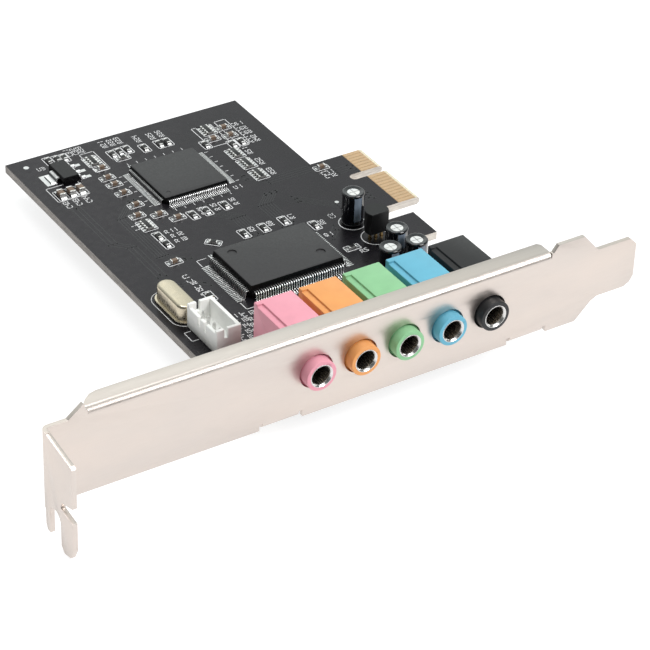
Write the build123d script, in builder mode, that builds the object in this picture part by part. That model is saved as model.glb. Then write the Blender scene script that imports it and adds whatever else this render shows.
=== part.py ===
import os

from build123d import *

os.makedirs("parts", exist_ok=True)

# Driving dimensions, in millimetres. The origin is on the middle jack's axis, level with the
# bracket's outer face. +X runs along the bracket to its tongue, +Y into the card, +Z up.

# Sheet, board and the gaps between pieces
sheet = 0.86
board_t = 1.6
board_gap = 0.15
fit_gap = 0.03

# Jacks
jack_colours = ["pink", "orange", "green", "blue", "black"]
jack_pitch = 9.0
jack_w = 7.6
jack_gap = 0.12
jack_back = 14.5
jack_rise = 6.85
jack_axis_h = 6.16
jack_wall = 1.5
rebate_w = 1.2
rebate_h = 0.45
rebate_stop = 1.0
collar_r = 2.95
collar_out = 1.8
hole_gap = 0.4
bore_r = 1.85
leaf_start = 3.5
leaf_w = 1.0
leaf_t = 0.25
leaf_gap = 0.1
blade_w = 0.4
blade_l = 1.0
blade_below = 1.5
blade_slot_gap = 0.15
blade_x = 2.6
blade_front = 3.5
blade_rear = 12.0

# Bracket
bracket_len = 120.0
jack_to_end = 50.0
bend_r = 1.3
plate_h = 16.54
left_h = 15.6
left_len = 4.7
right_h = 17.9
flange_start = 8.3
flange_stop = 19.1
flange_depth = 4.1
flange_cut = 2.5
flange_run = 3.6
flange_nick = 0.6
relief = 0.7
shoulder_start = 12.7
shoulder_end = 8.0
tongue_low = 4.0
tongue_w = 10.1
tongue_cut = 1.4
tab_d = 9.9
tab_drop = 1.3
tab_foot = 5.1
tab_corner = 1.0
step_h = 4.5
step_w = 3.1
step_d = 4.0
notch_w = 3.8
notch_y = 3.8
lug_w = 7.2
lug_depth = 9.6
lug_left = 24.85
lug_right = 26.5

# Board outline and card edge
board_w = 51.6
board_left = -29.2
board_back = 94.9
edge_out = 12.05
edge_far = 66.3
pad_pitch = 1.0
pad_w = 0.7
pad_l = 4.2
pad_t = 0.05
pad_margin = 0.225
pads_far = 7
pads_near = 11
key_w = 1.9
key_depth = 7.9
edge_bevel = 0.45
block_out = 7.85
block_near = 34.0
block_far = 42.0
block_inset = 2.0
waist_out = 1.6
waist_start = 11.5

# Component layout: x from the board's left edge, y from the bracket's face, both of which
# stretch with the board from these nominal sizes
layout_w = 51.6
layout_back = 94.9
bridge_at = (26.75, 74.2)
audio_at = (27.3, 38.6)
regulator_at = (8.05, 85.9)
crystal_at = (4.35, 36.0)
header_at = (5.7, 24.95)
transistor_at = (48.45, 38.2)
tall_can_at = (47.3, 44.5)
short_cans_at = [(49.35, 32.7), (50.25, 27.5), (44.75, 27.9)]
resistors_y = [
    (22.6, 61.5), (25.5, 61.5), (29.6, 61.5), (27.6, 51.2), (31.9, 51.2), (36.5, 51.4),
    (40.7, 47.2), (20.0, 88.3), (21.6, 88.5), (23.4, 88.6), (26.6, 87.4), (29.9, 87.3),
    (31.6, 87.3), (8.0, 92.1), (9.8, 91.9), (11.2, 91.8), (37.6, 82.6), (42.4, 80.2),
    (44.4, 80.2), (13.3, 58.2), (13.3, 55.2), (11.6, 36.4),
]
resistors_x = [(21.0, 86.2), (42.6, 37.2)]
resistor_turned = (21.1, 51.4)
capacitors_x = [
    (15.6, 84.8), (14.9, 81.1), (14.9, 78.3), (14.9, 74.8), (14.9, 69.9), (13.3, 66.4),
    (17.1, 64.8), (19.6, 62.1), (11.5, 49.2), (52.8, 64.2), (39.9, 83.8), (43.9, 86.6),
    (43.6, 83.4),
]
filter_caps_y = [(4.3, 79.9), (6.4, 79.9), (8.4, 79.9)]
arrays_y = [(41.0, 77.0), (41.0, 72.6), (41.0, 68.0), (40.6, 87.3), (13.2, 62.6), (15.3, 88.0)]

# Flat chips: body, stand-off, and leads as pitch, width, thickness, reach and number per side
bridge_side = 14.0
bridge_h = 1.4
bridge_stand = 0.1
bridge_leads = 32
bridge_pitch = 0.4
bridge_lead_w = 0.18
bridge_lead_t = 0.14
bridge_reach = 1.0
audio_l = 20.0
audio_w = 14.0
audio_h = 2.7
audio_stand = 0.25
audio_long_leads = 38
audio_short_leads = 26
audio_pitch = 0.5
audio_lead_w = 0.22
audio_lead_t = 0.16
audio_reach = 1.75
audio_foot = 0.85
chip_draft = 8.0

# Voltage regulator
regulator_w = 3.5
regulator_l = 6.5
regulator_h = 1.6
regulator_stand = 0.05
regulator_reach = 1.75
regulator_foot = 0.9
regulator_lead_t = 0.28
regulator_lead_w = 0.7
regulator_tab_w = 3.0
regulator_pitch = 2.3

# Crystal
crystal_l = 10.2
crystal_w = 3.7
crystal_h = 3.4
crystal_rim = 0.45
crystal_base_h = 0.45
crystal_pin_pitch = 4.88

# Header
header_l = 10.4
header_w = 5.0
header_h = 5.0
header_wall = 0.7
header_floor = 1.3
header_row = 0.55
header_pins_n = 4
header_pitch = 2.0
header_pin = 0.5
header_pin_top = 1.0
header_slot_w = 0.7
header_slot_d = 2.5
header_slot_y = 2.0
header_end_d = 1.9
header_lip = 0.75

# Radial capacitors and transistor
can_r = 2.15
tall_can_h = 7.0
short_can_h = 5.0
can_stand = 0.3
can_pin_pitch = 1.5
transistor_r = 2.3
transistor_flat = 1.3
transistor_h = 4.6
transistor_stand = 1.4
transistor_pitch = 1.27
wire_w = 0.42
wire_below = 1.3
wire_hole_gap = 0.2
hole_sides = 6

# Chip parts, as length, width and height
chip_l = 1.6
chip_w = 0.8
resistor_h = 0.5
capacitor_h = 0.75
filter_l = 2.0
filter_w = 1.25
filter_h = 0.95
array_l = 3.2
array_w = 1.6

# Positions that follow from the dimensions above
board_top = -jack_axis_h
board_bot = board_top - board_t
plate_bot = board_bot - sheet
plate_top = plate_bot + plate_h
board_front = bend_r + board_gap
board_right = board_left + board_w
edge_tip = board_right + edge_out
end_x = jack_to_end
tab_x = end_x - bracket_len
jack_x = [(i - (len(jack_colours) - 1) / 2) * jack_pitch for i in range(len(jack_colours))]
lug_x = [-lug_left, lug_right]
far_block = (pads_far - 1) * pad_pitch + pad_w + 2 * pad_margin
near_block = (pads_near - 1) * pad_pitch + pad_w + 2 * pad_margin
key_y = edge_far - far_block - key_w / 2
edge_near = key_y - key_w / 2 - near_block
wire_end = board_bot - wire_below


def at(spot):
    """Board position of a spot on the nominal layout."""
    return (board_left + spot[0] * board_w / layout_w, spot[1] * board_back / layout_back)


def fold(leg):
    """Profile of the sheet turned through a right angle, its leg running along local +X."""
    with BuildSketch() as profile:
        with BuildLine():
            CenterArc((bend_r, 0), bend_r, 90, 90)
            CenterArc((bend_r, 0), bend_r - sheet, 90, 90)
            Line((0, 0), (sheet, 0))
            Polyline((bend_r, bend_r), (leg, bend_r), (leg, bend_r - sheet), (bend_r, bend_r - sheet))
        make_face()
    return profile.sketch


def outward(spot, direction, away):
    """Upright plane at a chip's side: local +X points away from the chip, local +Y up."""
    origin = (spot[0] + direction[0] * away, spot[1] + direction[1] * away, board_top)
    x_dir = (direction[0], direction[1], 0)
    return Plane(origin=origin, x_dir=x_dir, z_dir=(direction[1], -direction[0], 0))


def bent_lead(height, reach, foot, thick):
    """Outline of a lead that slopes from the body down to a flat foot."""
    with BuildSketch() as profile:
        with BuildLine():
            Polyline(
                (0, height + thick / 2), (reach - foot, thick), (reach, thick), (reach, 0),
                (reach - foot - thick / 2, 0), (0, height - thick / 2), close=True,
            )
        make_face()
    return profile.sketch


def straight_lead(height, reach, thick):
    """Outline of a lead that slopes straight from the body to the board."""
    with BuildSketch() as profile:
        with BuildLine():
            Polyline(
                (0, height + thick / 2), (reach, thick), (reach, 0), (0, height - thick / 2),
                close=True,
            )
        make_face()
    return profile.sketch


def can_pins(spot):
    """The two wire positions of a radial capacitor."""
    x, y = at(spot)
    return [(x - can_pin_pitch / 2, y), (x + can_pin_pitch / 2, y)]


# Wires and blades that pass through the board
can_wires = [pin for spot in [tall_can_at] + short_cans_at for pin in can_pins(spot)]
tx, ty = at(transistor_at)
transistor_wires = [(tx + i * transistor_pitch, ty) for i in (-1, 0, 1)]
cx, cy = at(crystal_at)
crystal_wires = [(cx, cy - crystal_pin_pitch / 2), (cx, cy + crystal_pin_pitch / 2)]
hx, hy = at(header_at)
header_wires = [
    (hx - header_row, hy + (i - (header_pins_n - 1) / 2) * header_pitch)
    for i in range(header_pins_n)
]
blades = [
    (x + side * blade_x, y) for x in jack_x for side in (-1, 1) for y in (blade_front, blade_rear)
]

# Circuit board: stepped outline, keyed card edge and every lead hole
with BuildPart() as circuit_board:
    with BuildSketch(Plane.XY.offset(board_bot)) as outline:
        with BuildLine():
            Polyline(
                (board_left, board_front),
                (board_right + block_out, board_front),
                (board_right + block_out, waist_start),
                (board_right + waist_out, waist_start),
                (board_right + waist_out, block_near),
                (board_right + block_out, block_near),
                (board_right + block_out, block_far),
                (board_right + block_inset, block_far),
                (board_right + block_inset, edge_near),
                (edge_tip, edge_near),
                (edge_tip, edge_far),
                (board_right, edge_far),
                (board_right, board_back),
                (board_left, board_back),
                close=True,
            )
        make_face()
        with Locations((edge_tip - key_depth + key_w / 2, key_y)):
            Circle(key_w / 2, mode=Mode.SUBTRACT)
        with Locations((edge_tip - (key_depth - key_w / 2) / 2, key_y)):
            Rectangle(key_depth - key_w / 2, key_w, mode=Mode.SUBTRACT)
        with Locations(*can_wires, *transistor_wires, *crystal_wires):
            wire_hole_r = wire_w / 2 + wire_hole_gap
            RegularPolygon(wire_hole_r, hole_sides, major_radius=False, mode=Mode.SUBTRACT)
        with Locations(*header_wires):
            pin_hole_r = header_pin / 2 + wire_hole_gap
            RegularPolygon(pin_hole_r, hole_sides, major_radius=False, mode=Mode.SUBTRACT)
        with Locations(*blades):
            Rectangle(
                blade_w + 2 * blade_slot_gap, blade_l + 2 * blade_slot_gap, mode=Mode.SUBTRACT
            )
    extrude(amount=board_t)
    tip_edges = circuit_board.edges().filter_by(Axis.Y).group_by(Axis.X)[-1]
    chamfer(tip_edges, length=edge_bevel)
circuit_board.part.label = "circuit_board"
export_step(circuit_board.part, "parts/circuit_board.step")

# Gold fingers on both faces of the card edge
pad_rows = [edge_far - pad_margin - pad_w / 2 - i * pad_pitch for i in range(pads_far)]
pad_rows += [
    key_y - key_w / 2 - pad_margin - pad_w / 2 - i * pad_pitch for i in range(pads_near)
]
pad_x = edge_tip - edge_bevel - pad_l / 2
with BuildPart() as gold_fingers:
    for face, amount in ((board_top, pad_t), (board_bot, -pad_t)):
        with BuildSketch(Plane.XY.offset(face)) as pads:
            with Locations(*[(pad_x, y) for y in pad_rows]):
                Rectangle(pad_l, pad_w)
        extrude(amount=amount)
gold_fingers.part.label = "gold_fingers"
export_step(gold_fingers.part, "parts/gold_fingers.step")

# Bracket: one sheet with a slotted tab, a top flange, a tongue and two lugs under the board
flange_x = tab_x + flange_start
flange_end = end_x - flange_stop
shoulder_x = end_x - shoulder_start
fold_z = plate_top - bend_r
tongue_z = plate_bot + tongue_low
tongue_top = tongue_z + tongue_w
tab_edge = sheet - bend_r
with BuildPart() as bracket:
    with BuildSketch(Plane.XZ) as plate:
        with BuildLine():
            Polyline(
                (tab_x + bend_r, plate_bot),
                (tab_x + bend_r, plate_bot + left_h),
                (tab_x + left_len, plate_bot + left_h),
                (flange_x - relief, plate_bot + right_h),
                (flange_x - relief / 2, plate_top),
                (flange_x, plate_top),
                (flange_x, fold_z),
                (flange_end, fold_z),
                (flange_end, plate_top),
                (flange_end + relief / 2, plate_top),
                (flange_end + 2 * relief, plate_bot + right_h),
                (shoulder_x + relief, plate_bot + right_h),
                (end_x - shoulder_end - relief, tongue_top),
                (end_x - tongue_cut, tongue_top),
                (end_x, tongue_top - tongue_cut),
                (end_x, tongue_z + 1.4 * tongue_cut),
                (end_x - tongue_cut / 2, tongue_z + tongue_cut / 2),
                (end_x - 1.4 * tongue_cut, tongue_z),
                (end_x - shoulder_end, tongue_z),
                (end_x - shoulder_end - 2 * relief, tongue_z - relief),
                (shoulder_x, plate_bot),
                close=True,
            )
        make_face()
        with Locations(*[(x, 0) for x in jack_x]):
            Circle(collar_r + hole_gap, mode=Mode.SUBTRACT)
        with Locations(*[(x, plate_bot + bend_r / 2) for x in lug_x]):
            Rectangle(lug_w + 2 * relief, bend_r, mode=Mode.SUBTRACT)
    extrude(amount=-sheet)
    with BuildSketch(Plane((flange_x, 0, fold_z), x_dir=(0, 1, 0), z_dir=(1, 0, 0))):
        add(fold(flange_depth))
    extrude(amount=flange_end - flange_x)
    with BuildSketch(Plane.XY.offset(plate_top)) as flange_corners:
        with BuildLine():
            Polyline(
                (flange_x, flange_depth),
                (flange_x, flange_depth - flange_cut),
                (flange_x + 0.24 * flange_run, flange_depth - 0.57 * flange_cut),
                (flange_x + 0.61 * flange_run, flange_depth - 0.15 * flange_cut),
                (flange_x + flange_run, flange_depth),
                close=True,
            )
        make_face()
        with BuildLine():
            Polyline(
                (flange_end, flange_depth),
                (flange_end, flange_depth - flange_nick),
                (flange_end - flange_nick, flange_depth),
                close=True,
            )
        make_face()
    extrude(amount=-sheet, mode=Mode.SUBTRACT)
    for x in lug_x:
        lug_plane = Plane((x, 0, plate_bot + bend_r), x_dir=(0, 1, 0), z_dir=(-1, 0, 0))
        with BuildSketch(lug_plane):
            add(fold(lug_depth))
        extrude(amount=lug_w / 2, both=True)
    tab_corner_at = (tab_x + bend_r, sheet, plate_bot + left_h)
    with BuildSketch(Plane(tab_corner_at, x_dir=(0, -1, 0), z_dir=(0, 0, -1))):
        add(fold(bend_r + sheet))
    extrude(amount=left_h)
    with BuildSketch(Plane.YZ.offset(tab_x)) as tab:
        with BuildLine():
            Polyline(
                (tab_edge, plate_bot + left_h),
                (-tab_d + tab_corner / 2, plate_bot + left_h - tab_drop),
                (-tab_d, plate_bot + left_h - tab_drop - tab_corner / 2),
                (-tab_d, plate_bot + step_h + step_w / 2),
                (-tab_d + step_d - tab_corner / 2, plate_bot + step_h + tab_corner / 2),
                (-tab_d + step_d, plate_bot + step_h - tab_corner / 2),
                (-tab_d + step_d, plate_bot + step_h - tab_corner),
                (-tab_d, plate_bot + step_h - step_w / 2),
                (-tab_d, plate_bot - tab_foot / 2),
                (-tab_d + tab_corner, plate_bot - tab_foot + tab_corner / 2),
                (-notch_y - notch_w / 2 - tab_corner, plate_bot - tab_foot),
                (-notch_y - notch_w / 2, plate_bot - tab_foot + tab_corner),
                (-notch_y + notch_w / 2, plate_bot - tab_foot + tab_corner),
                (tab_edge - tab_corner / 2, plate_bot - tab_foot + tab_corner),
                (tab_edge, plate_bot - tab_foot + 2 * tab_corner),
                close=True,
            )
        make_face()
        with Locations((-notch_y, plate_bot)):
            Circle(notch_w / 2, mode=Mode.SUBTRACT)
        with Locations((-notch_y, plate_bot - tab_foot / 2)):
            Rectangle(notch_w, tab_foot, mode=Mode.SUBTRACT)
    extrude(amount=sheet)
bracket.part.label = "bracket"
export_step(bracket.part, "parts/bracket.step")

# Jack housings: tall narrow block, rebated top edge, and a collar through the bracket
jack_front = sheet + jack_gap
leaf_seat = bore_r + leaf_gap + leaf_t
for colour, x in zip(jack_colours, jack_x):
    with BuildPart() as jack_housing:
        with BuildSketch(Plane.XY.offset(board_top)) as block:
            with Locations((x, (jack_front + jack_back) / 2)):
                Rectangle(jack_w, jack_back - jack_front)
        extrude(amount=jack_axis_h + jack_rise)
        with BuildSketch(Plane.XY.offset(jack_rise)) as rebate:
            rebate_l = jack_back - rebate_stop - jack_front
            with Locations((x - jack_w / 2 + rebate_w / 2, jack_front + rebate_l / 2)):
                Rectangle(rebate_w, rebate_l)
        extrude(amount=-rebate_h, mode=Mode.SUBTRACT)
        with BuildSketch(Plane.XZ.offset(collar_out)) as collar:
            with Locations((x, 0)):
                Circle(collar_r)
        extrude(amount=-(collar_out + jack_front))
        with BuildSketch(Plane.XZ.offset(collar_out)) as bore:
            with Locations((x, 0)):
                Circle(bore_r)
        extrude(amount=-(collar_out + jack_back - jack_wall), mode=Mode.SUBTRACT)
        with BuildSketch(Plane.XZ.offset(-leaf_start)) as leaf_slot:
            with Locations((x, 0)):
                Rectangle(leaf_w + 2 * fit_gap, 2 * leaf_seat)
        extrude(amount=-(jack_back - jack_wall - leaf_start), mode=Mode.SUBTRACT)
    jack_housing.part.label = "jack_housing_" + colour
    export_step(jack_housing.part, "parts/jack_housing_" + colour + ".step")

# Contact leaves seated in slots above and below each bore
with BuildPart() as jack_leaves:
    leaf_z = leaf_seat - leaf_t / 2
    with BuildSketch(Plane.XZ.offset(-leaf_start)) as leaves:
        with Locations(*[(x, side * leaf_z) for x in jack_x for side in (-1, 1)]):
            Rectangle(leaf_w, leaf_t)
    extrude(amount=-(jack_back - jack_wall - leaf_start))
jack_leaves.part.label = "jack_leaves"
export_step(jack_leaves.part, "parts/jack_leaves.step")

# Blade pins under the jack housings
with BuildPart() as jack_pins:
    with BuildSketch(Plane.XY.offset(board_top)) as blade_tops:
        with Locations(*blades):
            Rectangle(blade_w, blade_l)
    extrude(amount=-(board_t + blade_below))
jack_pins.part.label = "jack_pins"
export_step(jack_pins.part, "parts/jack_pins.step")

# Bridge chip: square body parted at its middle, with leads on four sides
bridge_mid = bridge_stand + bridge_h / 2
with BuildPart() as bridge_chip:
    for amount in (bridge_h / 2, -bridge_h / 2):
        with BuildSketch(Plane.XY.offset(board_top + bridge_mid)) as bridge_half:
            with Locations(at(bridge_at)):
                Rectangle(bridge_side, bridge_side)
        extrude(amount=amount, taper=chip_draft)
bridge_chip.part.label = "bridge_chip"
export_step(bridge_chip.part, "parts/bridge_chip.step")

bridge_row = (bridge_leads - 1) * bridge_pitch + bridge_lead_w
with BuildPart() as bridge_chip_leads:
    for side in ((1, 0), (-1, 0), (0, 1), (0, -1)):
        with BuildSketch(outward(at(bridge_at), side, bridge_side / 2)):
            add(straight_lead(bridge_mid, bridge_reach, bridge_lead_t))
        extrude(amount=bridge_row / 2, both=True)
    bridge_span = bridge_side + bridge_reach
    with BuildSketch(Plane.XY.offset(board_top)) as bridge_feet:
        with Locations(at(bridge_at)):
            with GridLocations(bridge_pitch, bridge_span, bridge_leads, 2):
                Rectangle(bridge_lead_w, bridge_reach)
            with GridLocations(bridge_span, bridge_pitch, 2, bridge_leads):
                Rectangle(bridge_reach, bridge_lead_w)
    extrude(amount=bridge_h, mode=Mode.INTERSECT)
bridge_chip_leads.part.label = "bridge_chip_leads"
export_step(bridge_chip_leads.part, "parts/bridge_chip_leads.step")

# Audio chip: thicker oblong body with footed leads
audio_mid = audio_stand + audio_h / 2
with BuildPart() as audio_chip:
    for amount in (audio_h / 2, -audio_h / 2):
        with BuildSketch(Plane.XY.offset(board_top + audio_mid)) as audio_half:
            with Locations(at(audio_at)):
                Rectangle(audio_l, audio_w)
        extrude(amount=amount, taper=chip_draft)
audio_chip.part.label = "audio_chip"
export_step(audio_chip.part, "parts/audio_chip.step")

audio_rows = [
    ((1, 0), audio_l / 2, audio_short_leads), ((-1, 0), audio_l / 2, audio_short_leads),
    ((0, 1), audio_w / 2, audio_long_leads), ((0, -1), audio_w / 2, audio_long_leads),
]
with BuildPart() as audio_chip_leads:
    for side, away, count in audio_rows:
        with BuildSketch(outward(at(audio_at), side, away)):
            add(bent_lead(audio_mid, audio_reach, audio_foot, audio_lead_t))
        extrude(amount=((count - 1) * audio_pitch + audio_lead_w) / 2, both=True)
    with BuildSketch(Plane.XY.offset(board_top)) as audio_feet:
        with Locations(at(audio_at)):
            with GridLocations(audio_pitch, audio_w + audio_reach, audio_long_leads, 2):
                Rectangle(audio_lead_w, audio_reach)
            with GridLocations(audio_l + audio_reach, audio_pitch, 2, audio_short_leads):
                Rectangle(audio_reach, audio_lead_w)
    extrude(amount=audio_h, mode=Mode.INTERSECT)
audio_chip_leads.part.label = "audio_chip_leads"
export_step(audio_chip_leads.part, "parts/audio_chip_leads.step")

# Voltage regulator with a wide tab on one side and separate leads on the other
regulator_mid = regulator_stand + regulator_h / 2
with BuildPart() as regulator_body:
    for amount in (regulator_h / 2, -regulator_h / 2):
        with BuildSketch(Plane.XY.offset(board_top + regulator_mid)) as regulator_half:
            with Locations(at(regulator_at)):
                Rectangle(regulator_w, regulator_l)
        extrude(amount=amount, taper=chip_draft)
regulator_body.part.label = "regulator_body"
export_step(regulator_body.part, "parts/regulator_body.step")

rx, ry = at(regulator_at)
regulator_rows = [((-1, 0), 0, regulator_tab_w)]
regulator_rows += [((1, 0), i * regulator_pitch, regulator_lead_w) for i in (-1, 0, 1)]
with BuildPart() as regulator_leads:
    for side, shift, width in regulator_rows:
        with BuildSketch(outward((rx, ry + shift), side, regulator_w / 2)):
            add(bent_lead(regulator_mid, regulator_reach, regulator_foot, regulator_lead_t))
        extrude(amount=width / 2, both=True)
regulator_leads.part.label = "regulator_leads"
export_step(regulator_leads.part, "parts/regulator_leads.step")

# Crystal: long sealed can on a wider rim
with BuildPart() as crystal_base:
    with BuildSketch(Plane.XY.offset(board_top)) as rim_outline:
        with Locations(at(crystal_at)):
            SlotOverall(crystal_l + 2 * crystal_rim, crystal_w + 2 * crystal_rim, rotation=90)
    extrude(amount=crystal_base_h)
crystal_base.part.label = "crystal_base"
export_step(crystal_base.part, "parts/crystal_base.step")

with BuildPart() as crystal_can:
    with BuildSketch(Plane.XY.offset(board_top + crystal_base_h)) as can_outline:
        with Locations(at(crystal_at)):
            SlotOverall(crystal_l, crystal_w, rotation=90)
    extrude(amount=crystal_h - crystal_base_h)
crystal_can.part.label = "crystal_can"
export_step(crystal_can.part, "parts/crystal_can.step")

# Header: open box with a lower slotted outer wall, slotted ends and square pins through its floor
header_top = board_top + header_h
with BuildPart() as header_housing:
    with BuildSketch(Plane.XY.offset(board_top)) as header_outline:
        with Locations(at(header_at)):
            Rectangle(header_w, header_l)
    extrude(amount=header_h)
    with BuildSketch(Plane.XY.offset(header_top)) as header_cavity:
        with Locations(at(header_at)):
            Rectangle(header_w - 2 * header_wall, header_l - 2 * header_wall)
    extrude(amount=-(header_h - header_floor), mode=Mode.SUBTRACT)
    with BuildSketch(Plane.XY.offset(header_top)) as header_slots:
        with Locations(*[(hx - header_w / 2, hy + side * header_slot_y / 2) for side in (-1, 1)]):
            Rectangle(2 * header_wall, header_slot_w)
    extrude(amount=-header_slot_d, mode=Mode.SUBTRACT)
    with BuildSketch(Plane.XY.offset(header_top)) as header_end_slots:
        with Locations((hx - header_row, hy)):
            Rectangle(header_slot_w, header_l)
    extrude(amount=-header_end_d, mode=Mode.SUBTRACT)
    with BuildSketch(Plane.XY.offset(header_top)) as header_low_wall:
        with Locations((hx - header_w / 2, hy)):
            Rectangle(2 * header_wall, header_l - 2 * header_wall)
    extrude(amount=-header_lip, mode=Mode.SUBTRACT)
    with BuildSketch(Plane.XY.offset(board_top)) as pin_holes:
        with Locations(*header_wires):
            Rectangle(header_pin + 2 * fit_gap, header_pin + 2 * fit_gap)
    extrude(amount=header_floor, mode=Mode.SUBTRACT)
header_housing.part.label = "header_housing"
export_step(header_housing.part, "parts/header_housing.step")

with BuildPart() as header_pins:
    with BuildSketch(Plane.XY.offset(wire_end)) as pin_ends:
        with Locations(*header_wires):
            Rectangle(header_pin, header_pin)
    extrude(amount=header_top - header_pin_top - wire_end)
header_pins.part.label = "header_pins"
export_step(header_pins.part, "parts/header_pins.step")

# Radial capacitors: sealed cans, one tall and three short
can_groups = [
    ("tall_capacitor", [tall_can_at], tall_can_h),
    ("short_capacitors", short_cans_at, short_can_h),
]
for name, spots, height in can_groups:
    with BuildPart() as cans:
        with BuildSketch(Plane.XY.offset(board_top + can_stand)) as can_outlines:
            with Locations(*[at(spot) for spot in spots]):
                Circle(can_r)
        extrude(amount=height - can_stand)
    cans.part.label = name
    export_step(cans.part, "parts/" + name + ".step")

with BuildPart() as capacitor_wires:
    with BuildSketch(Plane.XY.offset(wire_end)) as can_wire_ends:
        with Locations(*can_wires):
            Rectangle(wire_w, wire_w)
    extrude(amount=board_top + can_stand - wire_end)
capacitor_wires.part.label = "capacitor_wires"
export_step(capacitor_wires.part, "parts/capacitor_wires.step")

with BuildPart() as crystal_wires_part:
    with BuildSketch(Plane.XY.offset(wire_end)) as crystal_wire_ends:
        with Locations(*crystal_wires):
            Rectangle(wire_w, wire_w)
    extrude(amount=board_top - wire_end)
crystal_wires_part.part.label = "crystal_wires"
export_step(crystal_wires_part.part, "parts/crystal_wires.step")

# Transistor: flat-fronted body held up on three legs
with BuildPart() as transistor_body:
    with BuildSketch(Plane.XY.offset(board_top + transistor_stand)) as transistor_outline:
        with Locations(at(transistor_at)):
            Circle(transistor_r)
        with Locations((tx, ty - transistor_flat - transistor_r)):
            Rectangle(2 * transistor_r, 2 * transistor_r, mode=Mode.SUBTRACT)
    extrude(amount=transistor_h)
transistor_body.part.label = "transistor_body"
export_step(transistor_body.part, "parts/transistor_body.step")

with BuildPart() as transistor_legs:
    with BuildSketch(Plane.XY.offset(wire_end)) as leg_ends:
        with Locations(*transistor_wires):
            Rectangle(wire_w, wire_w)
    extrude(amount=board_top + transistor_stand - wire_end)
transistor_legs.part.label = "transistor_legs"
export_step(transistor_legs.part, "parts/transistor_legs.step")

# Chip parts, flat on the board
with BuildPart() as chip_resistors:
    with BuildSketch(Plane.XY.offset(board_top)) as resistor_outlines:
        with Locations(*[at(spot) for spot in resistors_y]):
            Rectangle(chip_w, chip_l)
        with Locations(*[at(spot) for spot in resistors_x]):
            Rectangle(chip_l, chip_w)
        with Locations(at(resistor_turned)):
            Rectangle(chip_l, chip_w, rotation=-45)
    extrude(amount=resistor_h)
chip_resistors.part.label = "chip_resistors"
export_step(chip_resistors.part, "parts/chip_resistors.step")

with BuildPart() as chip_capacitors:
    with BuildSketch(Plane.XY.offset(board_top)) as capacitor_outlines:
        with Locations(*[at(spot) for spot in capacitors_x]):
            Rectangle(chip_l, chip_w)
    extrude(amount=capacitor_h)
chip_capacitors.part.label = "chip_capacitors"
export_step(chip_capacitors.part, "parts/chip_capacitors.step")

with BuildPart() as filter_capacitors:
    with BuildSketch(Plane.XY.offset(board_top)) as filter_outlines:
        with Locations(*[at(spot) for spot in filter_caps_y]):
            Rectangle(filter_w, filter_l)
    extrude(amount=filter_h)
filter_capacitors.part.label = "filter_capacitors"
export_step(filter_capacitors.part, "parts/filter_capacitors.step")

with BuildPart() as resistor_arrays:
    with BuildSketch(Plane.XY.offset(board_top)) as array_outlines:
        with Locations(*[at(spot) for spot in arrays_y]):
            Rectangle(array_w, array_l)
    extrude(amount=resistor_h)
resistor_arrays.part.label = "resistor_arrays"
export_step(resistor_arrays.part, "parts/resistor_arrays.step")
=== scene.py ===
import math

import bmesh
import bpy
from mathutils import Matrix, Vector


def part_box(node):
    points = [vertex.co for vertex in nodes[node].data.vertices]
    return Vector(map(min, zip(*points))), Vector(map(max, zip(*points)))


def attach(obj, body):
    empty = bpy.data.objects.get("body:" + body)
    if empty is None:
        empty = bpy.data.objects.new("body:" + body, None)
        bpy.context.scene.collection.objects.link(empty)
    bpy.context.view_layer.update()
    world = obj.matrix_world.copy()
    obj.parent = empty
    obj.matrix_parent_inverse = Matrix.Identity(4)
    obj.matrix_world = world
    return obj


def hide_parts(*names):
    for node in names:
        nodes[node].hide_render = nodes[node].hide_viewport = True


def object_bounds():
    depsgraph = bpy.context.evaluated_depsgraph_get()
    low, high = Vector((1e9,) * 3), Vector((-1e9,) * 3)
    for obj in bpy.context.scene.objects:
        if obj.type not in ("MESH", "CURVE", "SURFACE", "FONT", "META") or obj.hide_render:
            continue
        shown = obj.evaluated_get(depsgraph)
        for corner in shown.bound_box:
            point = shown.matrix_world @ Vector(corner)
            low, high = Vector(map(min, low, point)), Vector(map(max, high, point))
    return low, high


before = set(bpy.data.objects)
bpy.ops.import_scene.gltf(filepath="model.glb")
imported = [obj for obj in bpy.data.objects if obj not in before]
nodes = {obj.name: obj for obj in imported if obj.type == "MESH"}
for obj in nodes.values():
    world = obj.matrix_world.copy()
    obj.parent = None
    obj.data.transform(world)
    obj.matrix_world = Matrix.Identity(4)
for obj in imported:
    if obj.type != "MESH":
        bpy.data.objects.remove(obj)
cad_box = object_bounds()
MM = 0.001

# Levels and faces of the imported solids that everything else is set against
BOARD_LOW, BOARD_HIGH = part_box("circuit_board")
TOP = BOARD_HIGH.z
UNDER = BOARD_LOW.z
TIP_X = BOARD_HIGH.x
FINGERS_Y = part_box("gold_fingers")[0].y
MOUTH_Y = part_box("jack_housing_green")[0].y

# Thin layers on the board
TRACE_H = 0.012 * MM
INK_H = 0.022 * MM
PAD_H = 0.035 * MM

# Lengths under which points are one point, and under which they lie at one level
WELD = 1e-7
SAME_POINT = 1e-6
SAME_LEVEL = 1e-5

# Angles in degrees: faces this flat to each other are merged, and edges past the crease are sharp
FLAT = 0.5
CREASE = 35


# Outlines, as lists of (x, y) points

def rectangle(x0, y0, x1, y1):
    return [(x0, y0), (x1, y0), (x1, y1), (x0, y1)]


def arc(radius, begin, end, steps, centre=(0, 0)):
    """Points from one angle to another, in degrees, both ends included."""
    angles = [math.radians(begin + (end - begin) * i / steps) for i in range(steps + 1)]
    return [(centre[0] + radius * math.cos(a), centre[1] + radius * math.sin(a)) for a in angles]


def circle(radius, count=48):
    return arc(radius, 0, 360, count)[:-1]


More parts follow.
